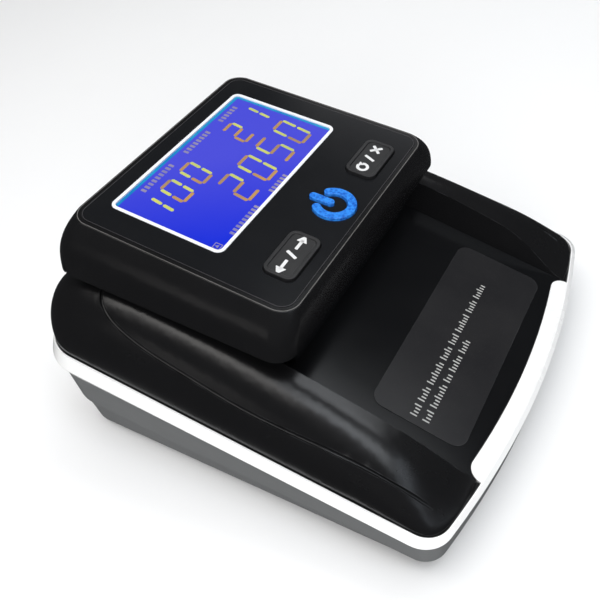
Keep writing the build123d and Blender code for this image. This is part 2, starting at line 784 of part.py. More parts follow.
def make_key(x):
    """A rubber key: raised rim round a dished face, a flange under the shell and a stem."""
    key = key_pad(x, -KEY_CLEAR, -KEY_CLEAR, -2.1, KEY_PROUD)
    key -= key_pad(x, -1.35, -1.2, KEY_PROUD - 0.4, KEY_PROUD + 1)
    key += key_pad(x, 0.6, 0.4, -2.9, -2.1)
    key += head * Pos(x, KEY_S, -3.4) * Cylinder(2.0, 1.2)
    return key


def make_power_button():
    key = power_icon(0, -2.2, KEY_PROUD - 0.1)
    mid = KEY_S + 2.2
    key += pad(head, 0, mid, 17.0, 20.0, 3.0, -2.9, -2.1)
    key += head * Pos(0, KEY_S, -3.4) * Cylinder(2.0, 1.2)
    return key


def make_head_base():
    """The head's floor with the neck under it, whose sole is the upper note guide."""
    s0, s1 = -0.2, 74.9
    plate = pad(head, 0, (s0 + s1) / 2, 95.4, s1 - s0, 8.0, BASE_BOTTOM, BASE_TOP)
    length = NECK_REAR_Y - NECK_FRONT_Y
    mid_y = (NECK_FRONT_Y + NECK_REAR_Y) / 2
    neck = Pos(0, mid_y, 50) * Box(2 * NECK_HALF, length, 60)
    neck &= box(track, -60, 60, 20, 160, NOTE_GAP, 60)
    neck &= box(head, -60, 60, -20, 100, -60, BASE_TOP)
    room = Pos(0, mid_y, 50) * Box(
        2 * (NECK_HALF - NECK_WALL), length - 2 * NECK_WALL, 60
    )
    room &= box(track, -60, 60, 20, 160, NOTE_GAP + 1.8, 60)
    base = plate + neck - room
    base -= mouth_wedge()
    for u in (FEED_U, CARRY_U):
        for x in (-ROLLER_X, ROLLER_X):
            base -= pad(track, x, u, PINCH_W + 1.2, 11.0, 1.0, 0, 6)
        y, z = track_point(u, PINCH_N)
        base -= rod(-60, 60, y, z, PINCH_AXLE_R + RUN_CLEAR)
    base -= pad(track, 0, MAGNET_U, 70.4, 6.4, 0.8, 0, 6)
    base -= pad(track, 0, WINDOW_U, 60.4, 5.4, 0.8, 0, 6)
    return base + both_sides(head_ear())


def mouth_wedge():
    """The slanting cut under the neck's front that leads a note in."""
    y, z = track_point(FEED_U - 7, NOTE_GAP)
    profile = make_face(
        Polyline((y, z), (y - 30, z + 13), (y - 30, z - 20), close=True)
    )
    side = Plane(origin=(-60, 0, 0), x_dir=(0, 1, 0), z_dir=(1, 0, 0))
    return side * extrude(profile, 120)


def head_ear():
    """The ear on the right that carries a hinge pin."""
    x1 = EAR_X0 + EAR_T
    top = 68.9
    ear = rod(EAR_X0, x1, HINGE_Y, HINGE_Z, EYE_R)
    ear += Pos((EAR_X0 + x1) / 2, HINGE_Y - EYE_R / 2, (HINGE_Z + top) / 2) * Box(
        EAR_T, EYE_R, top - HINGE_Z
    )
    return ear - rod(40, 60, HINGE_Y, HINGE_Z, HINGE_PIN_R)


def make_hinge_pins():
    pin = rod(POST_X0 + 0.1, EAR_X0 + EAR_T, HINGE_Y, HINGE_Z, HINGE_PIN_R)
    return Compound([pin, mirror(pin, about=Plane.YZ)])


def make_magnetic_sensor():
    return pad(track, 0, MAGNET_U, 70.0, 6.0, 0.6, NOTE_GAP + 0.2, NOTE_GAP + 5)


def make_sensor_window_upper():
    return pad(track, 0, WINDOW_U, 60.0, 5.0, 0.6, NOTE_GAP + 0.2, NOTE_GAP + 1.8)


def make_pinch_springs():
    """Four leaf springs that press the pinch axles down."""
    leaves = []
    for u in (FEED_U, CARRY_U):
        for x in (-30.0, 30.0):
            y, z = track_point(u, PINCH_N + PINCH_AXLE_R)
            profile = make_face(
                Polyline(
                    (y - 6, z + 2.0),
                    (y - 1.5, z + 0.3),
                    (y + 1.5, z + 0.3),
                    (y + 6, z + 2.0),
                    (y + 6, z + 2.4),
                    (y + 1.4, z + 0.7),
                    (y - 1.4, z + 0.7),
                    (y - 6, z + 2.4),
                    close=True,
                )
            )
            side = Plane(origin=(x - 2, 0, 0), x_dir=(0, 1, 0), z_dir=(1, 0, 0))
            leaves.append(side * extrude(profile, 4.0))
    return Compound(leaves)


def make_head_screws():
    """The heads of the four screws under the head's floor."""
    screws = []
    for x in (-44.5, 44.5):
        for s in (6.0, 62.0):
            screws.append(head * Pos(x, s, BASE_BOTTOM - 0.5) * Cylinder(2.2, 1.0))
    return Compound(screws)


def build():
    pinch_feed = track_point(FEED_U, PINCH_N)
    pinch_carry = track_point(CARRY_U, PINCH_N)
    reach = NECK_HALF - 0.2
    return {
        "lower_case": make_lower_case(),
        "trim_band": make_trim_band(),
        "upper_case": make_upper_case(),
        "feed_tray": make_feed_tray(),
        "tray_label": make_tray_label(),
        "sensor_window_lower": make_sensor_window_lower(),
        "sensor_board_lower": make_sensor_board_lower(),
        "side_frame_left": make_side_frame(-1),
        "side_frame_right": make_side_frame(1),
        "frame_tie_rods": make_frame_tie_rods(),
        "shaft_bushes": make_shaft_bushes(),
        "drive_motor": make_drive_motor(),
        "main_board": make_main_board(),
        "board_standoffs": make_board_standoffs(),
        "board_parts": make_board_parts(),
        "buzzer": make_buzzer(),
        "dc_jack": make_dc_jack(),
        "encoder_sensor": make_encoder_sensor(),
        "feet": make_feet(),
        "case_screws": make_case_screws(),
        "carry_belt": make_belt(
            BELT_X_FEED, FEED_Y, FEED_Z, PULLEY_R, CARRY_Y, CARRY_Z, PULLEY_R
        ),
        "motor_belt": make_belt(
            BELT_X_MOTOR, MOTOR_Y, MOTOR_Z, MOTOR_PULLEY_R, CARRY_Y, CARRY_Z, PULLEY_R
        ),
        "feed_shaft": rod(-39.0, 39.6, FEED_Y, FEED_Z, SHAFT_R),
        "feed_rollers": make_rollers(FEED_Y, FEED_Z, ROLLER_R, ROLLER_W, SHAFT_R, 3),
        "feed_pulley": make_pulley(FEED_Y, FEED_Z, PULLEY_R, SHAFT_R, [BELT_X_FEED]),
        "encoder_disc": make_encoder_disc(),
        "carry_shaft": rod(-37.0, 42.0, CARRY_Y, CARRY_Z, SHAFT_R),
        "carry_rollers": make_rollers(CARRY_Y, CARRY_Z, ROLLER_R, ROLLER_W, SHAFT_R, 3),
        "carry_pulley": make_pulley(
            CARRY_Y, CARRY_Z, PULLEY_R, SHAFT_R, [BELT_X_FEED, BELT_X_MOTOR]
        ),
        "motor_shaft": rod(FRAME_X - 20, 42.0, MOTOR_Y, MOTOR_Z, MOTOR_SHAFT_R),
        "motor_pulley": make_pulley(
            MOTOR_Y, MOTOR_Z, MOTOR_PULLEY_R, MOTOR_SHAFT_R, [BELT_X_MOTOR]
        ),
        "head_shell": make_head_shell(),
        "face_plate": make_face_plate(),
        "lcd_bezel": make_lcd_bezel(),
        "lcd_panel": make_lcd_panel(),
        "lcd_backlight": make_lcd_backlight(),
        "display_board": make_display_board(),
        "tact_switches": make_tact_switches(),
        "head_base": make_head_base(),
        "hinge_pins": make_hinge_pins(),
        "magnetic_sensor": make_magnetic_sensor(),
        "sensor_window_upper": make_sensor_window_upper(),
        "pinch_springs": make_pinch_springs(),
        "head_screws": make_head_screws(),
        "mode_button": make_key(-KEY_X),
        "clear_button": make_key(KEY_X),
        "power_button": make_power_button(),
        "feed_pinch_axle": rod(-reach, reach, *pinch_feed, PINCH_AXLE_R),
        "feed_pinch_rollers": make_rollers(*pinch_feed, PINCH_R, PINCH_W, PINCH_AXLE_R, 1),
        "carry_pinch_axle": rod(-reach, reach, *pinch_carry, PINCH_AXLE_R),
        "carry_pinch_rollers": make_rollers(*pinch_carry, PINCH_R, PINCH_W, PINCH_AXLE_R, 1),
    }


os.makedirs("parts", exist_ok=True)
for name, shape in build().items():
    export_step(shape, f"parts/{name}.step")
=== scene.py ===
import json
import math

import bpy
from mathutils import Matrix, Vector

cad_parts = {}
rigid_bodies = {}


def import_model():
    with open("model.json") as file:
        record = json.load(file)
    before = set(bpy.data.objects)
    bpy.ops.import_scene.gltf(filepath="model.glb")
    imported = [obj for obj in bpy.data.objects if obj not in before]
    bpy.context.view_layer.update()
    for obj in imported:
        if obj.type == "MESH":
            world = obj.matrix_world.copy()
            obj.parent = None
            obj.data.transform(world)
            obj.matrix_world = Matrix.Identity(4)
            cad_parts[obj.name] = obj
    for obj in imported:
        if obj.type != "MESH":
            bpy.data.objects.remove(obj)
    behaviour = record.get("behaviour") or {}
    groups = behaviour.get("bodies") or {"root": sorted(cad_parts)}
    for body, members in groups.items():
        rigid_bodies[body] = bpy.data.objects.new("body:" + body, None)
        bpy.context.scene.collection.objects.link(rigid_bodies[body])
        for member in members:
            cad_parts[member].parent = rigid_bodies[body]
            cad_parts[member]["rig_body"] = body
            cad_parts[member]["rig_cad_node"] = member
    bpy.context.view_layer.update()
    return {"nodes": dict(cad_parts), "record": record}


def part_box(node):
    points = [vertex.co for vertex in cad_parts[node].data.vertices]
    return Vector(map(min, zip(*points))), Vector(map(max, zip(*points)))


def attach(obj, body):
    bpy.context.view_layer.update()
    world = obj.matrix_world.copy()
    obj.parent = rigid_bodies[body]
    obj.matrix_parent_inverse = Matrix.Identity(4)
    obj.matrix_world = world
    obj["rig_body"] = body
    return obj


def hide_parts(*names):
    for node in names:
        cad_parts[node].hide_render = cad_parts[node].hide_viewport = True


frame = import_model()
print("frame loaded with", len(frame["nodes"]), "nodes")

mm = 0.001  # sizes below are written in millimetres times this

# the two sloping faces that graphics lie on: a point on the middle line and the slope
headTop = {"y": -17.6 * mm, "z": 64.4 * mm, "tilt": math.radians(11.0)}
trackTop = {"y": -66.0 * mm, "z": 19.0 * mm, "tilt": math.atan(0.3197)}


def makeActive(piece):
    bpy.ops.object.select_all(action="DESELECT")
    piece.select_set(True)
    bpy.context.view_layer.objects.active = piece


def joinPieces(pieces, name):
    makeActive(pieces[0])
    for piece in pieces:
        piece.select_set(True)
    if len(pieces) > 1:
        bpy.ops.object.join()
    joined = bpy.context.object
    joined.name = name
    return joined


def applyPlace(piece):
    makeActive(piece)
    bpy.ops.object.transform_apply(location=True, rotation=True, scale=True)


# lays a piece that was modelled flat at the origin on one of the sloping faces
def layOn(piece, plane, x=0.0, s=0.0, n=0.0):
    slope = Matrix.Translation((0, plane["y"], plane["z"])) @ Matrix.Rotation(plane["tilt"], 4, "X")
    piece.matrix_world = slope @ Matrix.Translation((x, s, n))
    applyPlace(piece)


# a flat rectangle about a point, with its corners cut or rounded
def makePlate(wide, deep, corner=0.0, steps=2, place=(0, 0, 0)):
    bpy.ops.mesh.primitive_plane_add(size=1, location=place)
    plate = bpy.context.object
    plate.scale = (wide, deep, 1)
    applyPlace(plate)
    if corner:
        cutCorners(plate, corner, steps)
    return plate


def cutCorners(piece, corner, steps):
    makeActive(piece)
    bpy.ops.object.mode_set(mode="EDIT")
    bpy.ops.mesh.select_all(action="SELECT")
    bpy.ops.mesh.bevel(offset=corner, segments=steps, affect="VERTICES")
    bpy.ops.object.mode_set(mode="OBJECT")


# leaves only a border of a flat outline
def keepBorder(piece, wide):
    makeActive(piece)
    bpy.ops.object.mode_set(mode="EDIT")
    bpy.ops.mesh.select_all(action="SELECT")
    bpy.ops.mesh.inset(thickness=wide)
    bpy.ops.mesh.delete(type="FACE")
    bpy.ops.object.mode_set(mode="OBJECT")


# turns a flat outline into a low slab with its faces outwards
def thicken(piece, height):
    makeActive(piece)
    bpy.ops.object.mode_set(mode="EDIT")
    bpy.ops.mesh.select_all(action="SELECT")
    bpy.ops.mesh.extrude_region_move(TRANSFORM_OT_translate={"value": (0, 0, height)})
    bpy.ops.mesh.select_all(action="SELECT")
    bpy.ops.mesh.normals_make_consistent(inside=False)
    bpy.ops.object.mode_set(mode="OBJECT")


def copyAt(piece, x, y, turn=0.0):
    makeActive(piece)
    bpy.ops.object.duplicate()
    copy = bpy.context.object
    copy.location = (x, y, 0)
    copy.rotation_euler = (0, 0, turn)
    applyPlace(copy)
    return copy


# Shader groups that several finishes share: the scales of their patterns, and where masks begin
patterns = {
    "slowTone": 34.0, "fineTone": 900.0, "middle": (0.35, 0.65),
    "smearStretch": (1.0, 0.35, 1.0), "smearTurn": (0.0, 0.0, 0.6), "broadSmear": 26.0, "fineSmear": 160.0,
    "wearWidth": 0.35 * mm, "wearFrom": (0.995, 0.86), "wearPatches": 240.0,
    "facingUp": (0.35, 0.98), "dustClouds": 48.0, "dustSpecks": 1500.0,
    "bumpDepth": 0.06 * mm, "dustTone": (0.42, 0.40, 0.37),
}


def newGroup(name, inputs, outputs):
    tree = bpy.data.node_groups.new(name, "ShaderNodeTree")
    for label, kind, value in inputs:
        socket = tree.interface.new_socket(name=label, in_out="INPUT", socket_type=kind)
        if value is not None:
            socket.default_value = value
    for label, kind in outputs:
        tree.interface.new_socket(name=label, in_out="OUTPUT", socket_type=kind)
    enter = tree.nodes.new("NodeGroupInput")
    leave = tree.nodes.new("NodeGroupOutput")
    return tree, enter, leave


def mathNode(tree, operation, first, second):
    node = tree.nodes.new("ShaderNodeMath")
    node.operation = operation
    for socket, value in zip(node.inputs, (first, second)):
        if isinstance(value, (int, float)):
            socket.default_value = value
        else:
            tree.links.new(value, socket)
    return node.outputs[0]


def blendTwo(tree, first, share, second, rest):
    return mathNode(
        tree, "ADD", mathNode(tree, "MULTIPLY", first, share), mathNode(tree, "MULTIPLY", second, rest)
    )


def noiseNode(tree, vector, scale, detail=3.0, rough=0.55):
    node = tree.nodes.new("ShaderNodeTexNoise")
    node.inputs["Detail"].default_value = detail
    node.inputs["Roughness"].default_value = rough
    tree.links.new(vector, node.inputs["Vector"])
    if isinstance(scale, (int, float)):
        node.inputs["Scale"].default_value = scale
    else:
        tree.links.new(scale, node.inputs["Scale"])
    return node.outputs["Fac"]


def rangeNode(tree, value, fromLow, fromHigh, toLow=0.0, toHigh=1.0):
    node = tree.nodes.new("ShaderNodeMapRange")
    tree.links.new(value, node.inputs["Value"])
    settings = zip(("From Min", "From Max", "To Min", "To Max"), (fromLow, fromHigh, toLow, toHigh))
    for label, amount in settings:
        if isinstance(amount, (int, float)):
            node.inputs[label].default_value = amount
        else:
            tree.links.new(amount, node.inputs[label])
    return node.outputs["Result"]


# the fine spark-eroded texture of a moulded face, with a slow drift of tone
def mouldGrainGroup():
    tree, enter, leave = newGroup(
        "mouldGrain",
        [("Vector", "NodeSocketVector", None), ("Scale", "NodeSocketFloat", 3000.0)],
        [("Height", "NodeSocketFloat"), ("Tone", "NodeSocketFloat")],
    )
    cells = tree.nodes.new("ShaderNodeTexVoronoi")
    tree.links.new(enter.outputs["Vector"], cells.inputs["Vector"])
    tree.links.new(enter.outputs["Scale"], cells.inputs["Scale"])
    fine = noiseNode(tree, enter.outputs["Vector"], enter.outputs["Scale"], 4.0, 0.6)
    rise = mathNode(tree, "MULTIPLY", cells.outputs["Distance"], 0.5)
    tree.links.new(mathNode(tree, "ADD", rise, fine), leave.inputs["Height"])
    slow = noiseNode(tree, enter.outputs["Vector"], patterns["slowTone"], 3.0)
    speck = noiseNode(tree, enter.outputs["Vector"], patterns["fineTone"], 2.0)
    tree.links.new(blendTwo(tree, slow, 0.75, speck, 0.25), leave.inputs["Tone"])
    return tree


# faint finger smears and rubbed patches, given out as a roughness
def handSmearGroup():
    tree, enter, leave = newGroup(
        "handSmear",
        [
            ("Vector", "NodeSocketVector", None),
            ("Low", "NodeSocketFloat", 0.3),
            ("High", "NodeSocketFloat", 0.5),
        ],
        [("Roughness", "NodeSocketFloat")],
    )
    stretch = tree.nodes.new("ShaderNodeMapping")
    stretch.inputs["Scale"].default_value = patterns["smearStretch"]
    stretch.inputs["Rotation"].default_value = patterns["smearTurn"]
    tree.links.new(enter.outputs["Vector"], stretch.inputs["Vector"])
    broad = noiseNode(tree, enter.outputs["Vector"], patterns["broadSmear"], 2.0)
    streak = noiseNode(tree, stretch.outputs["Vector"], patterns["fineSmear"], 5.0, 0.65)
    both = blendTwo(tree, broad, 0.6, streak, 0.4)
    spread = rangeNode(tree, both, *patterns["middle"], enter.outputs["Low"], enter.outputs["High"])
    tree.links.new(spread, leave.inputs["Roughness"])
    return tree


# rubbed edges: where a rounded normal leaves the face's own one
def edgeWearGroup():
    tree, enter, leave = newGroup(
        "edgeWear",
        [("Vector", "NodeSocketVector", None), ("Amount", "NodeSocketFloat", 0.5)],
        [("Mask", "NodeSocketFloat")],
    )
    rounded = tree.nodes.new("ShaderNodeBevel")
    rounded.samples = 4
    rounded.inputs["Radius"].default_value = patterns["wearWidth"]
    face = tree.nodes.new("ShaderNodeNewGeometry")
    dot = tree.nodes.new("ShaderNodeVectorMath")
    dot.operation = "DOT_PRODUCT"
    tree.links.new(rounded.outputs["Normal"], dot.inputs[0])
    tree.links.new(face.outputs["Normal"], dot.inputs[1])
    edge = rangeNode(tree, dot.outputs["Value"], *patterns["wearFrom"])
    patches = noiseNode(tree, enter.outputs["Vector"], patterns["wearPatches"], 5.0, 0.7)
    patchy = rangeNode(tree, patches, 0.42, 0.62)
    rubbed = mathNode(tree, "MULTIPLY", edge, patchy)
    tree.links.new(mathNode(tree, "MULTIPLY", rubbed, enter.outputs["Amount"]), leave.inputs["Mask"])
    return tree


# thin dust on faces that look up
def settledDustGroup():
    tree, enter, leave = newGroup(
        "settledDust",
        [("Vector", "NodeSocketVector", None), ("Amount", "NodeSocketFloat", 0.1)],
        [("Mask", "NodeSocketFloat")],
    )
    coords = tree.nodes.new("ShaderNodeTexCoord")
    split = tree.nodes.new("ShaderNodeSeparateXYZ")
    tree.links.new(coords.outputs["Normal"], split.inputs["Vector"])
    facing = rangeNode(tree, split.outputs["Z"], *patterns["facingUp"])
    clouds = noiseNode(tree, enter.outputs["Vector"], patterns["dustClouds"], 6.0, 0.7)
    specks = noiseNode(tree, enter.outputs["Vector"], patterns["dustSpecks"], 2.0)
    cloud, speck = rangeNode(tree, clouds, 0.38, 0.72), rangeNode(tree, specks, 0.60, 0.70)
    laid = mathNode(tree, "MULTIPLY", blendTwo(tree, cloud, 0.6, speck, 0.4), facing)
    tree.links.new(mathNode(tree, "MULTIPLY", laid, enter.outputs["Amount"]), leave.inputs["Mask"])
    return tree


# fine parallel lines that a tool or a rolling mill leaves, along or round a part
def toolLinesGroup():
    tree, enter, leave = newGroup(
        "toolLines",
        [("Vector", "NodeSocketVector", None), ("Stretch", "NodeSocketVector", None)],
        [("Height", "NodeSocketFloat")],
    )
    place = tree.nodes.new("ShaderNodeMapping")
    tree.links.new(enter.outputs["Vector"], place.inputs["Vector"])
    tree.links.new(enter.outputs["Stretch"], place.inputs["Scale"])
    tree.links.new(noiseNode(tree, place.outputs["Vector"], 1.0, 4.0, 0.6), leave.inputs["Height"])
    return tree


groups = {
    "grain": mouldGrainGroup(),
    "smear": handSmearGroup(),
    "wear": edgeWearGroup(),
    "dust": settledDustGroup(),
    "lines": toolLinesGroup(),
}
print("shader groups built")

# Finishes: colour, the colour that the tone drifts to, roughness from and to, grain scale and
# bump, worn colour and how much, dust, and the values that stay the same all over
plainPlastic = {
    "drift": 0.3, "rough": (0.40, 0.50), "grain": 3600.0, "bump": 0.10, "worn": (0.30, 0.30, 0.31),
    "wear": 0.15, "dust": 0.04, "metal": 0.0, "specular": 0.5, "coat": 0.0, "coatRough": 0.1,
    "lines": None,
}
groundMetal = {
    **plainPlastic, "metal": 1.0, "rough": (0.22, 0.36), "grain": 6000.0, "bump": 0.05,
    "wear": 0.35, "worn": (0.85, 0.85, 0.86), "dust": 0.02,
}
finishes = {
    "case_grey": {**plainPlastic, "colour": (0.150, 0.154, 0.156), "second": (0.132, 0.136, 0.138),
                  "rough": (0.42, 0.52), "grain": 3200.0, "bump": 0.16, "worn": (0.22, 0.22, 0.22)},
    "trim_white": {**plainPlastic, "colour": (0.82, 0.82, 0.815), "second": (0.76, 0.76, 0.75),
                   "rough": (0.20, 0.30), "bump": 0.03, "worn": (0.66, 0.65, 0.62), "coat": 0.3},
    "shell_black": {**plainPlastic, "colour": (0.0050, 0.0050, 0.0054),
                    "second": (0.0075, 0.0075, 0.0080), "rough": (0.22, 0.28), "grain": 4200.0,
                    "bump": 0.035, "wear": 0.45, "worn": (0.07, 0.07, 0.075), "dust": 0.004},
    "tray_black": {**plainPlastic, "colour": (0.0040, 0.0042, 0.0048), "second": (0.0065, 0.0067, 0.0072),
                   "rough": (0.15, 0.20), "grain": 2600.0, "bump": 0.03, "wear": 0.05, "dust": 0.004,
                   "worn": (0.06, 0.06, 0.06), "specular": 0.22},
    "label_grey": {**plainPlastic, "colour": (0.0125, 0.0125, 0.0138), "second": (0.0160, 0.0160, 0.0170),
                   "rough": (0.20, 0.26), "specular": 0.25, "grain": 2400.0, "bump": 0.08, "dust": 0.02},
    "face_black": {**plainPlastic, "colour": (0.0068, 0.0073, 0.0084), "second": (0.0088, 0.0092, 0.0104),
                   "rough": (0.18, 0.23), "specular": 0.35, "grain": 3000.0, "bump": 0.04,
                   "wear": 0.05, "dust": 0.006,
                   "worn": (0.08, 0.08, 0.085)},
    "lcd_white": {**plainPlastic, "colour": (0.80, 0.81, 0.84), "second": (0.74, 0.75, 0.80),
                  "rough": (0.25, 0.35), "bump": 0.02},
    "light_box": {**plainPlastic, "colour": (0.70, 0.75, 0.86), "second": (0.62, 0.68, 0.82)},
    "key_rubber": {**plainPlastic, "colour": (0.014, 0.014, 0.015), "second": (0.021, 0.021, 0.022),
                   "rough": (0.36, 0.50), "grain": 2600.0, "bump": 0.10, "wear": 0.16,
                   "worn": (0.10, 0.10, 0.10)},
    "roller_rubber": {**plainPlastic, "colour": (0.050, 0.050, 0.052), "second": (0.075, 0.073, 0.070),
                      "rough": (0.62, 0.80), "grain": 1800.0, "bump": 0.30, "dust": 0.08},
    "belt_rubber": {**plainPlastic, "colour": (0.020, 0.020, 0.020), "second": (0.035, 0.034, 0.033),
                    "rough": (0.60, 0.75), "lines": (500.0, 60.0, 60.0), "bump": 0.25},
    "foot_rubber": {**plainPlastic, "colour": (0.020, 0.020, 0.020), "second": (0.032, 0.031, 0.030),
                    "rough": (0.68, 0.82), "grain": 1700.0, "bump": 0.25, "dust": 0.06},
    "circuit_green": {**plainPlastic, "colour": (0.012, 0.095, 0.040), "second": (0.030, 0.150, 0.060),
                      "drift": 0.8, "rough": (0.28, 0.38), "lines": (420.0, 90.0, 90.0), "bump": 0.10},
    "chip_black": {**plainPlastic, "colour": (0.016, 0.016, 0.017), "second": (0.030, 0.030, 0.032),
                   "rough": (0.50, 0.62), "grain": 5200.0, "bump": 0.18},
    "pulley_plastic": {**plainPlastic, "colour": (0.56, 0.55, 0.50), "second": (0.48, 0.46, 0.41),
                       "rough": (0.38, 0.50), "lines": (90.0, 700.0, 700.0), "bump": 0.08},
    "frame_steel": {**groundMetal, "colour": (0.52, 0.53, 0.54), "second": (0.44, 0.45, 0.47),
                    "rough": (0.30, 0.42), "lines": (60.0, 60.0, 2200.0), "bump": 0.10},
    "shaft_steel": {**groundMetal, "colour": (0.60, 0.60, 0.61), "second": (0.52, 0.52, 0.54),
                    "lines": (2600.0, 60.0, 60.0)},
    "motor_steel": {**groundMetal, "colour": (0.45, 0.46, 0.47), "second": (0.38, 0.39, 0.40),
                    "rough": (0.34, 0.46), "lines": (1200.0, 80.0, 80.0)},
    "screw_steel": {**groundMetal, "colour": (0.10, 0.10, 0.11), "second": (0.16, 0.16, 0.17),
                    "rough": (0.34, 0.50), "worn": (0.50, 0.50, 0.50)},
    "bush_brass": {**groundMetal, "colour": (0.60, 0.42, 0.17), "second": (0.50, 0.33, 0.12),
                   "lines": (2400.0, 70.0, 70.0), "worn": (0.80, 0.64, 0.32)},
    "print_white": {**plainPlastic, "colour": (0.72, 0.72, 0.72), "second": (0.62, 0.62, 0.62),
                    "rough": (0.42, 0.52), "grain": 2600.0, "bump": 0.06},
    # painted highlights: the light grey of these two lines stands in for the light that the film's rim and
    # the head's top edge catch
    "filmRimHighlight": {**plainPlastic, "colour": (0.040, 0.038, 0.042), "second": (0.065, 0.062, 0.064),
                "rough": (0.25, 0.35), "grain": 900.0, "bump": 0.02},
    "headEdgeHighlight": {**plainPlastic, "colour": (0.10, 0.095, 0.090), "second": (0.17, 0.165, 0.160),
                "rough": (0.20, 0.30), "grain": 500.0, "bump": 0.02, "drift": 0.6},
    "print_grey": {**plainPlastic, "colour": (0.42, 0.42, 0.41), "second": (0.32, 0.32, 0.32),
                   "rough": (0.42, 0.52), "grain": 2600.0, "bump": 0.06},
}


def placeGroup(tree, key, **values):
    node = tree.nodes.new("ShaderNodeGroup")
    node.node_tree = groups[key]
    for label, value in values.items():
        if hasattr(value, "is_linked"):
            tree.links.new(value, node.inputs[label])
        else:
            node.inputs[label].default_value = value
    return node


def mixColours(tree, factor, first, second):
    node = tree.nodes.new("ShaderNodeMix")
    node.data_type = "RGBA"
    sockets = [s for s in node.inputs if s.enabled]
    for socket, value in zip(sockets, (factor, first, second)):
        if hasattr(value, "is_linked"):
            tree.links.new(value, socket)
        elif isinstance(value, tuple):
            socket.default_value = (*value, 1.0)
        else:
            socket.default_value = value
    return [s for s in node.outputs if s.enabled][0]


def startMaterial(name):
    material = bpy.data.materials.new(name)
    material.use_nodes = True
    tree = material.node_tree
    shader = tree.nodes["Principled BSDF"]
    coords = tree.nodes.new("ShaderNodeTexCoord").outputs["Object"]
    return material, tree, shader, coords


def addBump(tree, shader, height, strength):
    bump = tree.nodes.new("ShaderNodeBump")
    bump.inputs["Strength"].default_value = strength
    bump.inputs["Distance"].default_value = patterns["bumpDepth"]
    tree.links.new(height, bump.inputs["Height"])
    tree.links.new(bump.outputs["Normal"], shader.inputs["Normal"])


def makeFinish(name):
    values = finishes[name]
    material, tree, shader, coords = startMaterial(name)
    grain = placeGroup(tree, "grain", Vector=coords, Scale=values["grain"])
    tone = rangeNode(tree, grain.outputs["Tone"], *patterns["middle"])
    drift = mathNode(tree, "MULTIPLY", tone, values["drift"])
    colour = mixColours(tree, drift, values["colour"], values["second"])
    wear = placeGroup(tree, "wear", Vector=coords, Amount=values["wear"])
    colour = mixColours(tree, wear.outputs["Mask"], colour, values["worn"])
    dust = placeGroup(tree, "dust", Vector=coords, Amount=values["dust"])
    colour = mixColours(tree, dust.outputs["Mask"], colour, patterns["dustTone"])
    tree.links.new(colour, shader.inputs["Base Color"])
    low, high = values["rough"]
    smear = placeGroup(tree, "smear", Vector=coords, Low=low, High=high)
    dulled = mathNode(tree, "ADD", smear.outputs["Roughness"], dust.outputs["Mask"])
    tree.links.new(dulled, shader.inputs["Roughness"])
    height = grain.outputs["Height"]
    if values["lines"]:
        lines = placeGroup(tree, "lines", Vector=coords, Stretch=values["lines"])
        height = mathNode(tree, "ADD", lines.outputs["Height"], mathNode(tree, "MULTIPLY", height, 0.4))
    addBump(tree, shader, height, values["bump"])
    shader.inputs["Metallic"].default_value = values["metal"]
    shader.inputs["Specular IOR Level"].default_value = values["specular"]
    shader.inputs["Coat Weight"].default_value = values["coat"]
    shader.inputs["Coat Roughness"].default_value = values["coatRough"]
    return material


# the blue screen, lit from behind, with a painted reflection: lighter towards its rear right corner across a
# slanted, wavering line; and a fine dot pitch
screen = {
    "deep": (0.000, 0.010, 0.33), "bright": (0.036, 0.038, 0.33), "glow": 0.85, "from": -20 * mm,
    "to": 34 * mm, "dots": 2600.0, "dotTone": (0.01, 0.02, 0.35), "dotShare": 0.12, "slant": 0.8,
    "stray": 12 * mm,
}


def makeScreen():
    material, tree, shader, coords = startMaterial("lcd_blue")
    split = tree.nodes.new("ShaderNodeSeparateXYZ")
    tree.links.new(coords, split.inputs["Vector"])
    # painted reflection: a slanted ramp, wavered by noise, mixes the deep blue towards the lighter tone, in
    # the emission too
    along = mathNode(tree, "MULTIPLY", split.outputs["Y"], screen["slant"])
    across = mathNode(tree, "ADD", split.outputs["X"], along)
    cloud = noiseNode(tree, coords, 40.0, 2.0)
    bent = mathNode(tree, "ADD", across, mathNode(tree, "MULTIPLY", cloud, screen["stray"]))
    reflectionShare = rangeNode(tree, bent, screen["from"], screen["to"])
    colour = mixColours(tree, reflectionShare, screen["deep"], screen["bright"])
    dots = noiseNode(tree, coords, screen["dots"], 1.0)
    share = mathNode(tree, "MULTIPLY", dots, screen["dotShare"])
    speckled = mixColours(tree, share, colour, screen["dotTone"])
    tree.links.new(speckled, shader.inputs["Base Color"])
    tree.links.new(speckled, shader.inputs["Emission Color"])
    shader.inputs["Emission Strength"].default_value = screen["glow"]
    smear = placeGroup(tree, "smear", Vector=coords, Low=0.10, High=0.18)
    tree.links.new(smear.outputs["Roughness"], shader.inputs["Roughness"])
    addBump(tree, shader, dots, 0.02)
    return material


# printed and lit marks on the screen
litMarks = {
    "digit_yellow": {"colour": (0.46, 0.46, 0.10), "second": (0.36, 0.40, 0.12), "glow": 0.22},
    "digit_tan": {"colour": (0.40, 0.22, 0.07), "second": (0.27, 0.17, 0.10), "glow": 0.15},
    "screen_print": {"colour": (0.24, 0.21, 0.30), "second": (0.16, 0.15, 0.34), "glow": 0.10},
    "screen_fringe": {"colour": (0.00, 0.13, 0.36), "second": (0.01, 0.24, 0.42), "glow": 0.25},
}


def makeLitMark(name):
    values = litMarks[name]
    material, tree, shader, coords = startMaterial(name)
    tone = rangeNode(tree, noiseNode(tree, coords, 90.0, 4.0), *patterns["middle"])
    colour = mixColours(tree, tone, values["colour"], values["second"])
    tree.links.new(colour, shader.inputs["Base Color"])
    tree.links.new(colour, shader.inputs["Emission Color"])
    shader.inputs["Emission Strength"].default_value = values["glow"]
    smear = placeGroup(tree, "smear", Vector=coords, Low=0.18, High=0.28)
    tree.links.new(smear.outputs["Roughness"], shader.inputs["Roughness"])
    return material
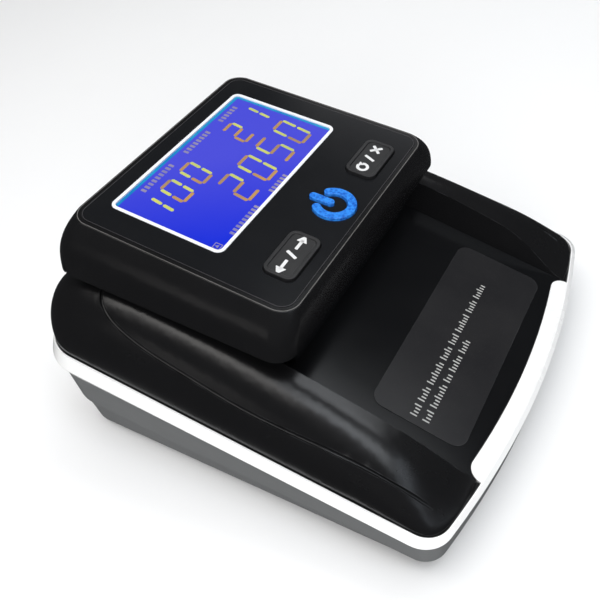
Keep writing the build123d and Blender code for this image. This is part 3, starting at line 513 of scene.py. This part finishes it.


# the power sign: clear blue resin with a cloudy, speckled inside; the speckle is partly real flakes and
# partly painted glints and a painted glow, since it also shines as emission
resin = {"deep": (0.002, 0.050, 0.34), "bright": (0.03, 0.22, 0.68), "cells": 1100.0, "glow": 0.30,
         "coat": 0.8, "coatRough": 0.06, "bump": 0.5}


def makeResin():
    material, tree, shader, coords = startMaterial("icon_blue")
    flakes = tree.nodes.new("ShaderNodeTexVoronoi")
    flakes.inputs["Scale"].default_value = resin["cells"]
    tree.links.new(coords, flakes.inputs["Vector"])
    cloud = noiseNode(tree, coords, 700.0, 4.0, 0.7)
    mixed = mathNode(tree, "ADD", mathNode(tree, "MULTIPLY", flakes.outputs["Distance"], 0.5), cloud)
    flakesAndGlints = rangeNode(tree, mixed, 0.45, 0.95)
    colour = mixColours(tree, flakesAndGlints, resin["deep"], resin["bright"])
    tree.links.new(colour, shader.inputs["Base Color"])
    # painted glow: the speckled colour shines as emission at this strength
    tree.links.new(colour, shader.inputs["Emission Color"])
    shader.inputs["Emission Strength"].default_value = resin["glow"]
    shader.inputs["Coat Weight"].default_value = resin["coat"]
    shader.inputs["Coat Roughness"].default_value = resin["coatRough"]
    smear = placeGroup(tree, "smear", Vector=coords, Low=0.12, High=0.22)
    tree.links.new(smear.outputs["Roughness"], shader.inputs["Roughness"])
    addBump(tree, shader, mixed, resin["bump"])
    return material


# smoked sensor window
smoked = {"deep": (0.030, 0.018, 0.030), "bright": (0.042, 0.026, 0.040), "clear": 0.35, "bending": 1.49}


def makeSmoked():
    material, tree, shader, coords = startMaterial("smoked_window")
    tone = rangeNode(tree, noiseNode(tree, coords, 70.0, 3.0), *patterns["middle"])
    colour = mixColours(tree, tone, smoked["deep"], smoked["bright"])
    tree.links.new(colour, shader.inputs["Base Color"])
    shader.inputs["Transmission Weight"].default_value = smoked["clear"]
    shader.inputs["IOR"].default_value = smoked["bending"]
    smear = placeGroup(tree, "smear", Vector=coords, Low=0.05, High=0.14)
    tree.links.new(smear.outputs["Roughness"], shader.inputs["Roughness"])
    return material


materials = {name: makeFinish(name) for name in finishes}
materials.update({name: makeLitMark(name) for name in litMarks})
materials["lcd_blue"] = makeScreen()
materials["icon_blue"] = makeResin()
materials["smoked_window"] = makeSmoked()


def paint(piece, name):
    if piece.data.materials:
        piece.data.materials[0] = materials[name]
    else:
        piece.data.materials.append(materials[name])


for subpart in frame["record"]["subparts"]:
    paint(frame["nodes"][subpart["node"]], subpart["material_slot"])
print("materials made:", len(materials))

# Moulded skins: a merged copy of each visible casing, with its edges softened as moulding leaves
# them. Per node: the skin's name, its body, its finish, the edge's width in mm and its steps
skins = {
    "lower_case": ("lowerCaseSkin", "base", "case_grey", 0.30, 2),
    "trim_band": ("trimBandSkin", "base", "trim_white", 0.18, 2),
    "upper_case": ("upperCaseSkin", "base", "shell_black", 0.28, 3),
    "feed_tray": ("feedTraySkin", "base", "tray_black", 0.15, 2),
    "tray_label": ("trayLabelSkin", "base", "label_grey", 0.06, 2),
    "head_shell": ("headShellSkin", "head", "shell_black", 0.40, 3),
    "face_plate": ("facePlateSkin", "head", "face_black", 0.07, 2),
    "lcd_bezel": ("screenFrameSkin", "head", "lcd_white", 0.10, 2),
    "lcd_panel": ("screenSkin", "head", "lcd_blue", 0.08, 2),
    "head_base": ("headFloorSkin", "head", "tray_black", 0.20, 2),
    "mode_button": ("modeKeySkin", "mode_key", "key_rubber", 0.22, 3),
    "clear_button": ("clearKeySkin", "clear_key", "key_rubber", 0.22, 3),
    "power_button": ("powerSignSkin", "power_key", "icon_blue", 0.70, 5),
    "feet": ("feetSkin", "base", "foot_rubber", 0.20, 2),
    "feed_rollers": ("feedRollersSkin", "feed_drive", "roller_rubber", 0.15, 2),
    "carry_rollers": ("carryRollersSkin", "carry_drive", "roller_rubber", 0.15, 2),
}
skinRules = {
    "merge": 0.002 * mm, "flat": math.radians(0.15), "sharp": math.radians(32), "smooth": math.radians(38),
    "weight": 60,
}


def makeSkin(nodeName):
    name, body, slot, edge, steps = skins[nodeName]
    makeActive(frame["nodes"][nodeName])
    bpy.ops.object.duplicate()
    skin = bpy.context.object
    bpy.ops.object.parent_clear(type="CLEAR_KEEP_TRANSFORM")
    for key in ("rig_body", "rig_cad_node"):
        if key in skin:
            del skin[key]
    skin.name = name
    bpy.ops.object.mode_set(mode="EDIT")
    bpy.ops.mesh.select_all(action="SELECT")
    bpy.ops.mesh.remove_doubles(threshold=skinRules["merge"])
    bpy.ops.mesh.dissolve_limited(angle_limit=skinRules["flat"])
    bpy.ops.object.mode_set(mode="OBJECT")
    bpy.ops.mesh.customdata_custom_splitnormals_clear()
    rounding = skin.modifiers.new("softEdges", "BEVEL")
    rounding.width = edge * mm
    rounding.segments = steps
    rounding.limit_method = "ANGLE"
    rounding.angle_limit = skinRules["sharp"]
    bpy.ops.object.modifier_apply(modifier=rounding.name)
    bpy.ops.object.shade_smooth_by_angle(angle=skinRules["smooth"])
    # keeps flat faces flat beside their rounds
    weighing = skin.modifiers.new("flatFaces", "WEIGHTED_NORMAL")
    weighing.mode = "FACE_AREA_WITH_ANGLE"
    weighing.weight = skinRules["weight"]
    weighing.keep_sharp = True
    bpy.ops.object.modifier_apply(modifier=weighing.name)
    paint(skin, slot)
    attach(skin, body)
    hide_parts(nodeName)
    return skin


for nodeName in skins:
    skin = makeSkin(nodeName)
    print("skin", skin.name, len(skin.data.vertices), "points")

# Screen digits: slanted bars with cut ends, in two tints
digitRows = [
    {"digits": "100", "centres": (-28.2, -18.2, -8.4), "foot": 49.3, "tall": 10.6, "wide": 6.6},
    {"digits": "21", "centres": (15.8, 26.0), "foot": 49.3, "tall": 10.6, "wide": 6.6},
    {"digits": "2050", "centres": (-7.3, 3.5, 14.4, 25.2), "foot": 33.1, "tall": 13.0, "wide": 7.3},
]
barShape = {
    "width": 1.15 * mm, "cut": 0.40 * mm, "gap": 0.28 * mm, "rise": 0.05 * mm, "slant": math.radians(7.5),
}
barsOf = {"0": "abcdef", "1": "bc", "2": "abdeg", "5": "acdfg"}


def makeBar(length):
    bar = makePlate(length, barShape["width"], barShape["cut"], 1)
    thicken(bar, barShape["rise"])
    return bar


# where each bar of a digit lies: across, along, lying flat or standing
def barPlaces(wide, tall):
    half, quarter = tall / 2, tall / 4
    side = wide / 2
    return {
        "a": (0, half, True), "g": (0, 0, True), "d": (0, -half, True),
        "b": (side, quarter, False), "c": (side, -quarter, False),
        "f": (-side, quarter, False), "e": (-side, -quarter, False),
    }


def makeDigits():
    tinted = {"digit_yellow": [], "digit_tan": []}
    for row in digitRows:
        lineWidth = barShape["width"] / mm
        wide, tall = row["wide"] - lineWidth, row["tall"] - lineWidth
        flat = makeBar((wide - 2 * barShape["gap"] / mm) * mm)
        upright = makeBar((tall / 2 - 2 * barShape["gap"] / mm) * mm)
        middle = row["foot"] + row["tall"] / 2
        for digit, centre in zip(row["digits"], row["centres"]):
            for letter in barsOf[digit]:
                across, along, lying = barPlaces(wide, tall)[letter]
                across += centre + along * math.tan(barShape["slant"])
                source = flat if lying else upright
                turn = 0.0 if lying else math.pi / 2 - barShape["slant"]
                tint = "digit_tan" if lying or letter == "e" else "digit_yellow"
                tinted[tint].append(copyAt(source, across * mm, (middle + along) * mm, turn))
        for source in (flat, upright):
            bpy.data.objects.remove(source)
    return tinted


screenTop = -0.35 * mm  # the screen lies this far under the head's top face
rooted = 0.01 * mm  # how far a print is sunk into the face that it lies on
softCorner = 0.15 * mm
for tint, bars in makeDigits().items():
    digits = joinPieces(bars, "screenBars_" + tint)
    layOn(digits, headTop, n=screenTop - rooted)
    paint(digits, tint)
    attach(digits, "head")
print("screen digits made")

# Small printed marks that stand in for words: rows of blocks of two heights
markRows = {
    "screenMarksRear": {
        "plane": headTop, "n": screenTop, "slot": "lcd_white", "finish": "screen_print", "body": "head",
        "foot": 62.3, "tall": 1.9, "low": 1.9, "step": 1.72, "block": 1.05, "rise": 0.04,
        "words": [(-23.8, 9), (-2.0, 8), (17.8, 6)],
    },
    "screenMarksFront": {
        "plane": headTop, "n": screenTop, "slot": "lcd_white", "finish": "screen_print", "body": "head",
        "foot": 29.3, "tall": 1.7, "low": 1.7, "step": 1.62, "block": 1.0, "rise": 0.04,
        "words": [(-25.6, 9), (-4.1, 6)],
    },
    "trayLabelMarks": {
        "plane": trackTop, "n": 0.2 * mm, "slot": "label_grey", "finish": "print_grey", "body": "base",
        "foot": 20.4, "tall": 2.2, "low": 1.5, "step": 1.15, "block": 0.44, "rise": 0.03,
        "words": [(-34.0, 4), (-28.4, 5), (-21.6, 8), (-11.4, 5), (-4.6, 4), (1.0, 7), (10.2, 5), (17.0, 6)],
    },
    "trayLabelMarksSecond": {
        "plane": trackTop, "n": 0.2 * mm, "slot": "label_grey", "finish": "print_grey", "body": "base",
        "foot": 16.5, "tall": 2.2, "low": 1.5, "step": 1.15, "block": 0.44, "rise": 0.03,
        "words": [(-34.0, 4), (-28.4, 8), (-18.2, 3), (-13.8, 6), (-5.8, 5)],
    },
}


def makeMarkRow(name):
    values = markRows[name]
    blocks = []
    sources = {}
    for height in sorted({values["tall"], values["low"]}):
        block = makePlate(values["block"] * mm, height * mm, softCorner)
        thicken(block, values["rise"] * mm)
        sources[height] = block
    for start, count in values["words"]:
        for i in range(count):
            height = values["tall"] if i % 3 == 0 else values["low"]
            x = start + values["step"] * i + values["block"] / 2
            blocks.append(copyAt(sources[height], x * mm, (values["foot"] + height / 2) * mm))
    for source in sources.values():
        bpy.data.objects.remove(source)
    marks = joinPieces(blocks, name)
    layOn(marks, values["plane"], n=values["n"] - rooted)
    paint(marks, values["finish"])
    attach(marks, values["body"])


for name in markRows:
    makeMarkRow(name)
print("printed marks made")

# Screen fringe: the cyan light line inside the rear and right edges
fringe = {"half": 33.15, "front": 29.4, "rear": 66.5, "wide": 1.0, "rise": 0.05}


def makeFringe():
    strips = []
    long = 2 * fringe["half"]
    deep = fringe["rear"] - fringe["front"]
    for x, s, w, d in (
        (0, fringe["rear"] - fringe["wide"] / 2, long, fringe["wide"]),
        (fringe["half"] - fringe["wide"] / 2, fringe["front"] + (deep - fringe["wide"]) / 2,
         fringe["wide"], deep - fringe["wide"]),
    ):
        strips.append(makePlate(w * mm, d * mm, place=(x * mm, s * mm, 0)))
    glow = joinPieces(strips, "screenFringe")
    bpy.ops.object.mode_set(mode="EDIT")
    bpy.ops.mesh.select_all(action="SELECT")
    bpy.ops.mesh.subdivide(number_cuts=3)
    bpy.ops.object.mode_set(mode="OBJECT")
    thicken(glow, fringe["rise"] * mm)
    layOn(glow, headTop, n=screenTop - rooted)
    paint(glow, "screen_fringe")
    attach(glow, "head")


makeFringe()

# Signs on the keys: arrows, a turn mark and a cross, in thick white print
sign = {"stroke": 0.95 * mm, "corner": 0.2 * mm, "rise": 0.10 * mm, "sink": 0.55 * mm, "s": 10.9 * mm}


def makeStroke(length, x=0.0, y=0.0, turn=0.0):
    bar = makePlate(length, sign["stroke"], sign["corner"])
    thicken(bar, sign["rise"])
    bar.location = (x, y, 0)
    bar.rotation_euler = (0, 0, turn)
    applyPlace(bar)
    return bar


def makeArrowHead(x, y, turn, radius):
    bpy.ops.mesh.primitive_circle_add(vertices=3, radius=radius, fill_type="NGON", rotation=(0, 0, turn))
    tip = bpy.context.object
    applyPlace(tip)
    cutCorners(tip, softCorner, 2)
    thicken(tip, sign["rise"])
    tip.location = (x, y, 0)
    applyPlace(tip)
    return tip


# part of a flat ring, from a disc with its middle and one side taken out
def makeArc(x, y, radius, openFrom, openTo):
    bpy.ops.mesh.primitive_circle_add(vertices=48, radius=radius + sign["stroke"] / 2, fill_type="NGON")
    ring = bpy.context.object
    keepBorder(ring, sign["stroke"])
    bpy.ops.object.mode_set(mode="EDIT")
    bpy.ops.mesh.select_all(action="DESELECT")
    bpy.ops.object.mode_set(mode="OBJECT")
    for face in ring.data.polygons:
        angle = math.degrees(math.atan2(face.center.y, face.center.x)) % 360
        face.select = openFrom < angle < openTo
    bpy.ops.object.mode_set(mode="EDIT")
    bpy.ops.mesh.select_mode(type="FACE")
    bpy.ops.mesh.delete(type="FACE")
    bpy.ops.mesh.select_mode(type="VERT")
    bpy.ops.object.mode_set(mode="OBJECT")
    thicken(ring, sign["rise"])
    ring.location = (x, y, 0)
    applyPlace(ring)
    return ring


def makeKeySigns():
    slash = math.radians(68)
    left = []
    for side in (-1, 1):
        left.append(makeStroke(4.0 * mm, side * 4.4 * mm))
        turn = -math.pi / 2 if side > 0 else math.pi / 2
        left.append(makeArrowHead(side * 6.6 * mm, 0, turn, 1.9 * mm))
    left.append(makeStroke(3.9 * mm, turn=slash))
    right = [makeStroke(3.9 * mm, turn=slash)]
    right.append(makeArc(-5.0 * mm, 0, 1.55 * mm, 20, 75))
    right.append(makeArrowHead(-3.95 * mm, 1.15 * mm, math.radians(-60), 1.15 * mm))
    for turn in (45, 135):
        right.append(makeStroke(4.3 * mm, 5.0 * mm, turn=math.radians(turn)))
    for name, strokes, node, body in (
        ("modeKeySign", left, "mode_button", "mode_key"),
        ("clearKeySign", right, "clear_button", "clear_key"),
    ):
        low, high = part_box(node)
        piece = joinPieces(strokes, name)
        layOn(piece, headTop, x=(low.x + high.x) / 2, s=sign["s"], n=sign["sink"])
        paint(piece, "print_white")
        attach(piece, body)


makeKeySigns()
print("key signs made")

# Painted highlights: thin light lines that stand in for the light that edges catch, on the rim of the film
# on the head and along the head's own top edge
rimHighlights = {
    "filmRimHighlight": {"half": 42.42, "front": 1.78, "rear": 72.92, "corner": 4.2, "wide": 0.15, "n": 0.035,
                "slot": "face_black"},
    "headEdgeHighlight": {"half": 43.95, "front": 0.25, "rear": 74.45, "corner": 5.8, "wide": 0.22, "n": -0.02,
                "slot": "shell_black"},
}
rimSteps, rimRise = 10, 0.03 * mm


def makeRimHighlight(name):
    values = rimHighlights[name]
    deep = values["rear"] - values["front"]
    rim = makePlate(2 * values["half"] * mm, deep * mm, values["corner"] * mm, rimSteps)
    rim.name = name
    keepBorder(rim, values["wide"] * mm)
    thicken(rim, rimRise)
    layOn(rim, headTop, s=(values["front"] + values["rear"]) / 2 * mm, n=values["n"] * mm)
    paint(rim, name)
    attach(rim, "head")


for name in rimHighlights:
    makeRimHighlight(name)

# The small framed sign in the screen's front left corner
cornerSign = {"x": -31.7, "s": 30.9, "size": 2.5, "line": 0.28, "rise": 0.04, "tip": 0.75}


def makeCornerSign():
    square = makePlate(cornerSign["size"] * mm, cornerSign["size"] * mm)
    keepBorder(square, cornerSign["line"] * mm)
    thicken(square, cornerSign["rise"] * mm)
    inner = makeArrowHead(0, 0, 0, cornerSign["tip"] * mm)
    inner.scale = (1, 1, cornerSign["rise"] * mm / sign["rise"])
    applyPlace(inner)
    piece = joinPieces([square, inner], "screenCornerSign")
    layOn(piece, headTop, x=cornerSign["x"] * mm, s=cornerSign["s"] * mm, n=screenTop - rooted)
    paint(piece, "screen_print")
    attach(piece, "head")


makeCornerSign()

# Floor, light and camera
studio = {
    "floor": 3.0, "floorTone": (0.86, 0.86, 0.86), "floorDrift": 0.985, "floorRough": 0.75,
    "sky": (0.92, 0.94, 1.0), "skyPower": 0.045,
    "boxes": [
        {"name": "stripBox", "place": (0.31, -0.14, 0.72), "aim": (0.31, -0.14, 0.0), "size": (0.11, 0.44),
         "power": 0.80, "colour": (0.92, 0.96, 1.0), "mirrored": True},
        {"name": "leftStrip", "place": (-0.17, 0.18, 0.72), "aim": (-0.17, 0.18, 0.0), "size": (0.16, 0.56),
         "power": 0.85, "colour": (1.0, 0.975, 0.95), "mirrored": True},
        {"name": "leftStripEdge", "place": (-0.31, 0.18, 0.72), "aim": (-0.31, 0.18, 0.0),
         "size": (0.12, 0.56), "power": 0.16, "colour": (1.0, 0.97, 0.94), "mirrored": True},
        {"name": "leftStripFront", "place": (-0.07, -0.32, 0.72), "aim": (-0.07, -0.32, 0.0),
         "size": (0.20, 0.44), "power": 1.00, "colour": (0.90, 0.95, 1.0), "mirrored": True},
        {"name": "rightBox", "place": (0.80, 0.16, 0.52), "aim": (0.0, 0.0, 0.05), "size": (0.34, 0.24),
         "power": 0.25, "colour": (0.96, 0.97, 1.0), "mirrored": True},
        {"name": "farCard", "place": (0.90, 0.45, 0.20), "aim": (0.0, 0.0, 0.05), "size": (0.50, 0.30),
         "power": 0.40, "colour": (1.0, 1.0, 1.0), "mirrored": True},
        {"name": "leftCard", "place": (-0.85, 0.30, 0.42), "aim": (0.0, 0.0, 0.05), "size": (0.35, 0.25),
         "power": 0.12, "colour": (1.0, 0.97, 0.94), "mirrored": True},
        {"name": "frontBox", "place": (-0.02, -0.62, 0.56), "aim": (0.0, 0.0, 0.04), "size": (0.30, 0.16),
         "power": 0.35, "colour": (0.82, 0.90, 1.0), "mirrored": True},
        {"name": "softCeiling", "place": (0.0, 0.1, 1.40), "aim": (0.0, 0.1, 0.0), "size": (2.8, 2.8),
         "power": 30.0, "colour": (1.0, 1.0, 1.0), "mirrored": False},
        {"name": "softWall", "place": (-0.9, -0.4, 0.35), "aim": (0.0, 0.0, 0.02), "size": (0.9, 0.5),
         "power": 6.5, "colour": (1.0, 1.0, 1.0), "mirrored": False},
    ],
}


def makeStudio():
    bpy.ops.mesh.primitive_plane_add(size=studio["floor"], location=(0, 0, 0))
    floor = bpy.context.object
    floor.name = "floor"
    material, tree, shader, coords = startMaterial("paleFloor")
    tone = rangeNode(tree, noiseNode(tree, coords, 6.0, 3.0), 0.3, 0.7)
    white = studio["floorTone"]
    shaded = tuple(studio["floorDrift"] * c for c in white)
    tree.links.new(mixColours(tree, tone, white, shaded), shader.inputs["Base Color"])
    shader.inputs["Roughness"].default_value = studio["floorRough"]
    floor.data.materials.append(material)
    floor.visible_glossy = False  # black gloss would pick up a white floor as grey
    for box in studio["boxes"]:
        bpy.ops.object.light_add(type="AREA", location=box["place"])
        light = bpy.context.object
        light.name = box["name"]
        light.data.shape = "RECTANGLE"
        light.data.size, light.data.size_y = box["size"]
        light.data.energy = box["power"]
        light.data.color = box["colour"]
        light.visible_glossy = box["mirrored"]
        aim = Vector(box["aim"]) - Vector(box["place"])
        light.rotation_euler = aim.to_track_quat("-Z", "Y").to_euler()
    world = bpy.data.worlds.new("studioSky")
    world.use_nodes = True
    sky = world.node_tree.nodes["Background"]
    sky.inputs["Color"].default_value = (*studio["sky"], 1.0)
    sky.inputs["Strength"].default_value = studio["skyPower"]
    bpy.context.scene.world = world
    bpy.context.scene.view_settings.view_transform = "Standard"


view = {
    "place": (-0.1408, -0.0980, 0.1894), "along": (0.57020, 0.44860, -0.68821),
    "upward": (0.65641, 0.25492, 0.71003), "lens": 41.49, "near": 0.01,
}


def makeCamera():
    bpy.ops.object.camera_add()
    camera = bpy.context.object
    camera.name = "viewCamera"
    along, upward = Vector(view["along"]).normalized(), Vector(view["upward"]).normalized()
    right = along.cross(upward)
    axes = Matrix((right, upward, -along)).transposed().to_4x4()
    camera.matrix_world = Matrix.Translation(view["place"]) @ axes
    camera.data.sensor_width = 36.0
    camera.data.lens = view["lens"]
    camera.data.clip_start = view["near"]
    bpy.context.scene.camera = camera


makeStudio()
makeCamera()
print("studio and camera set")
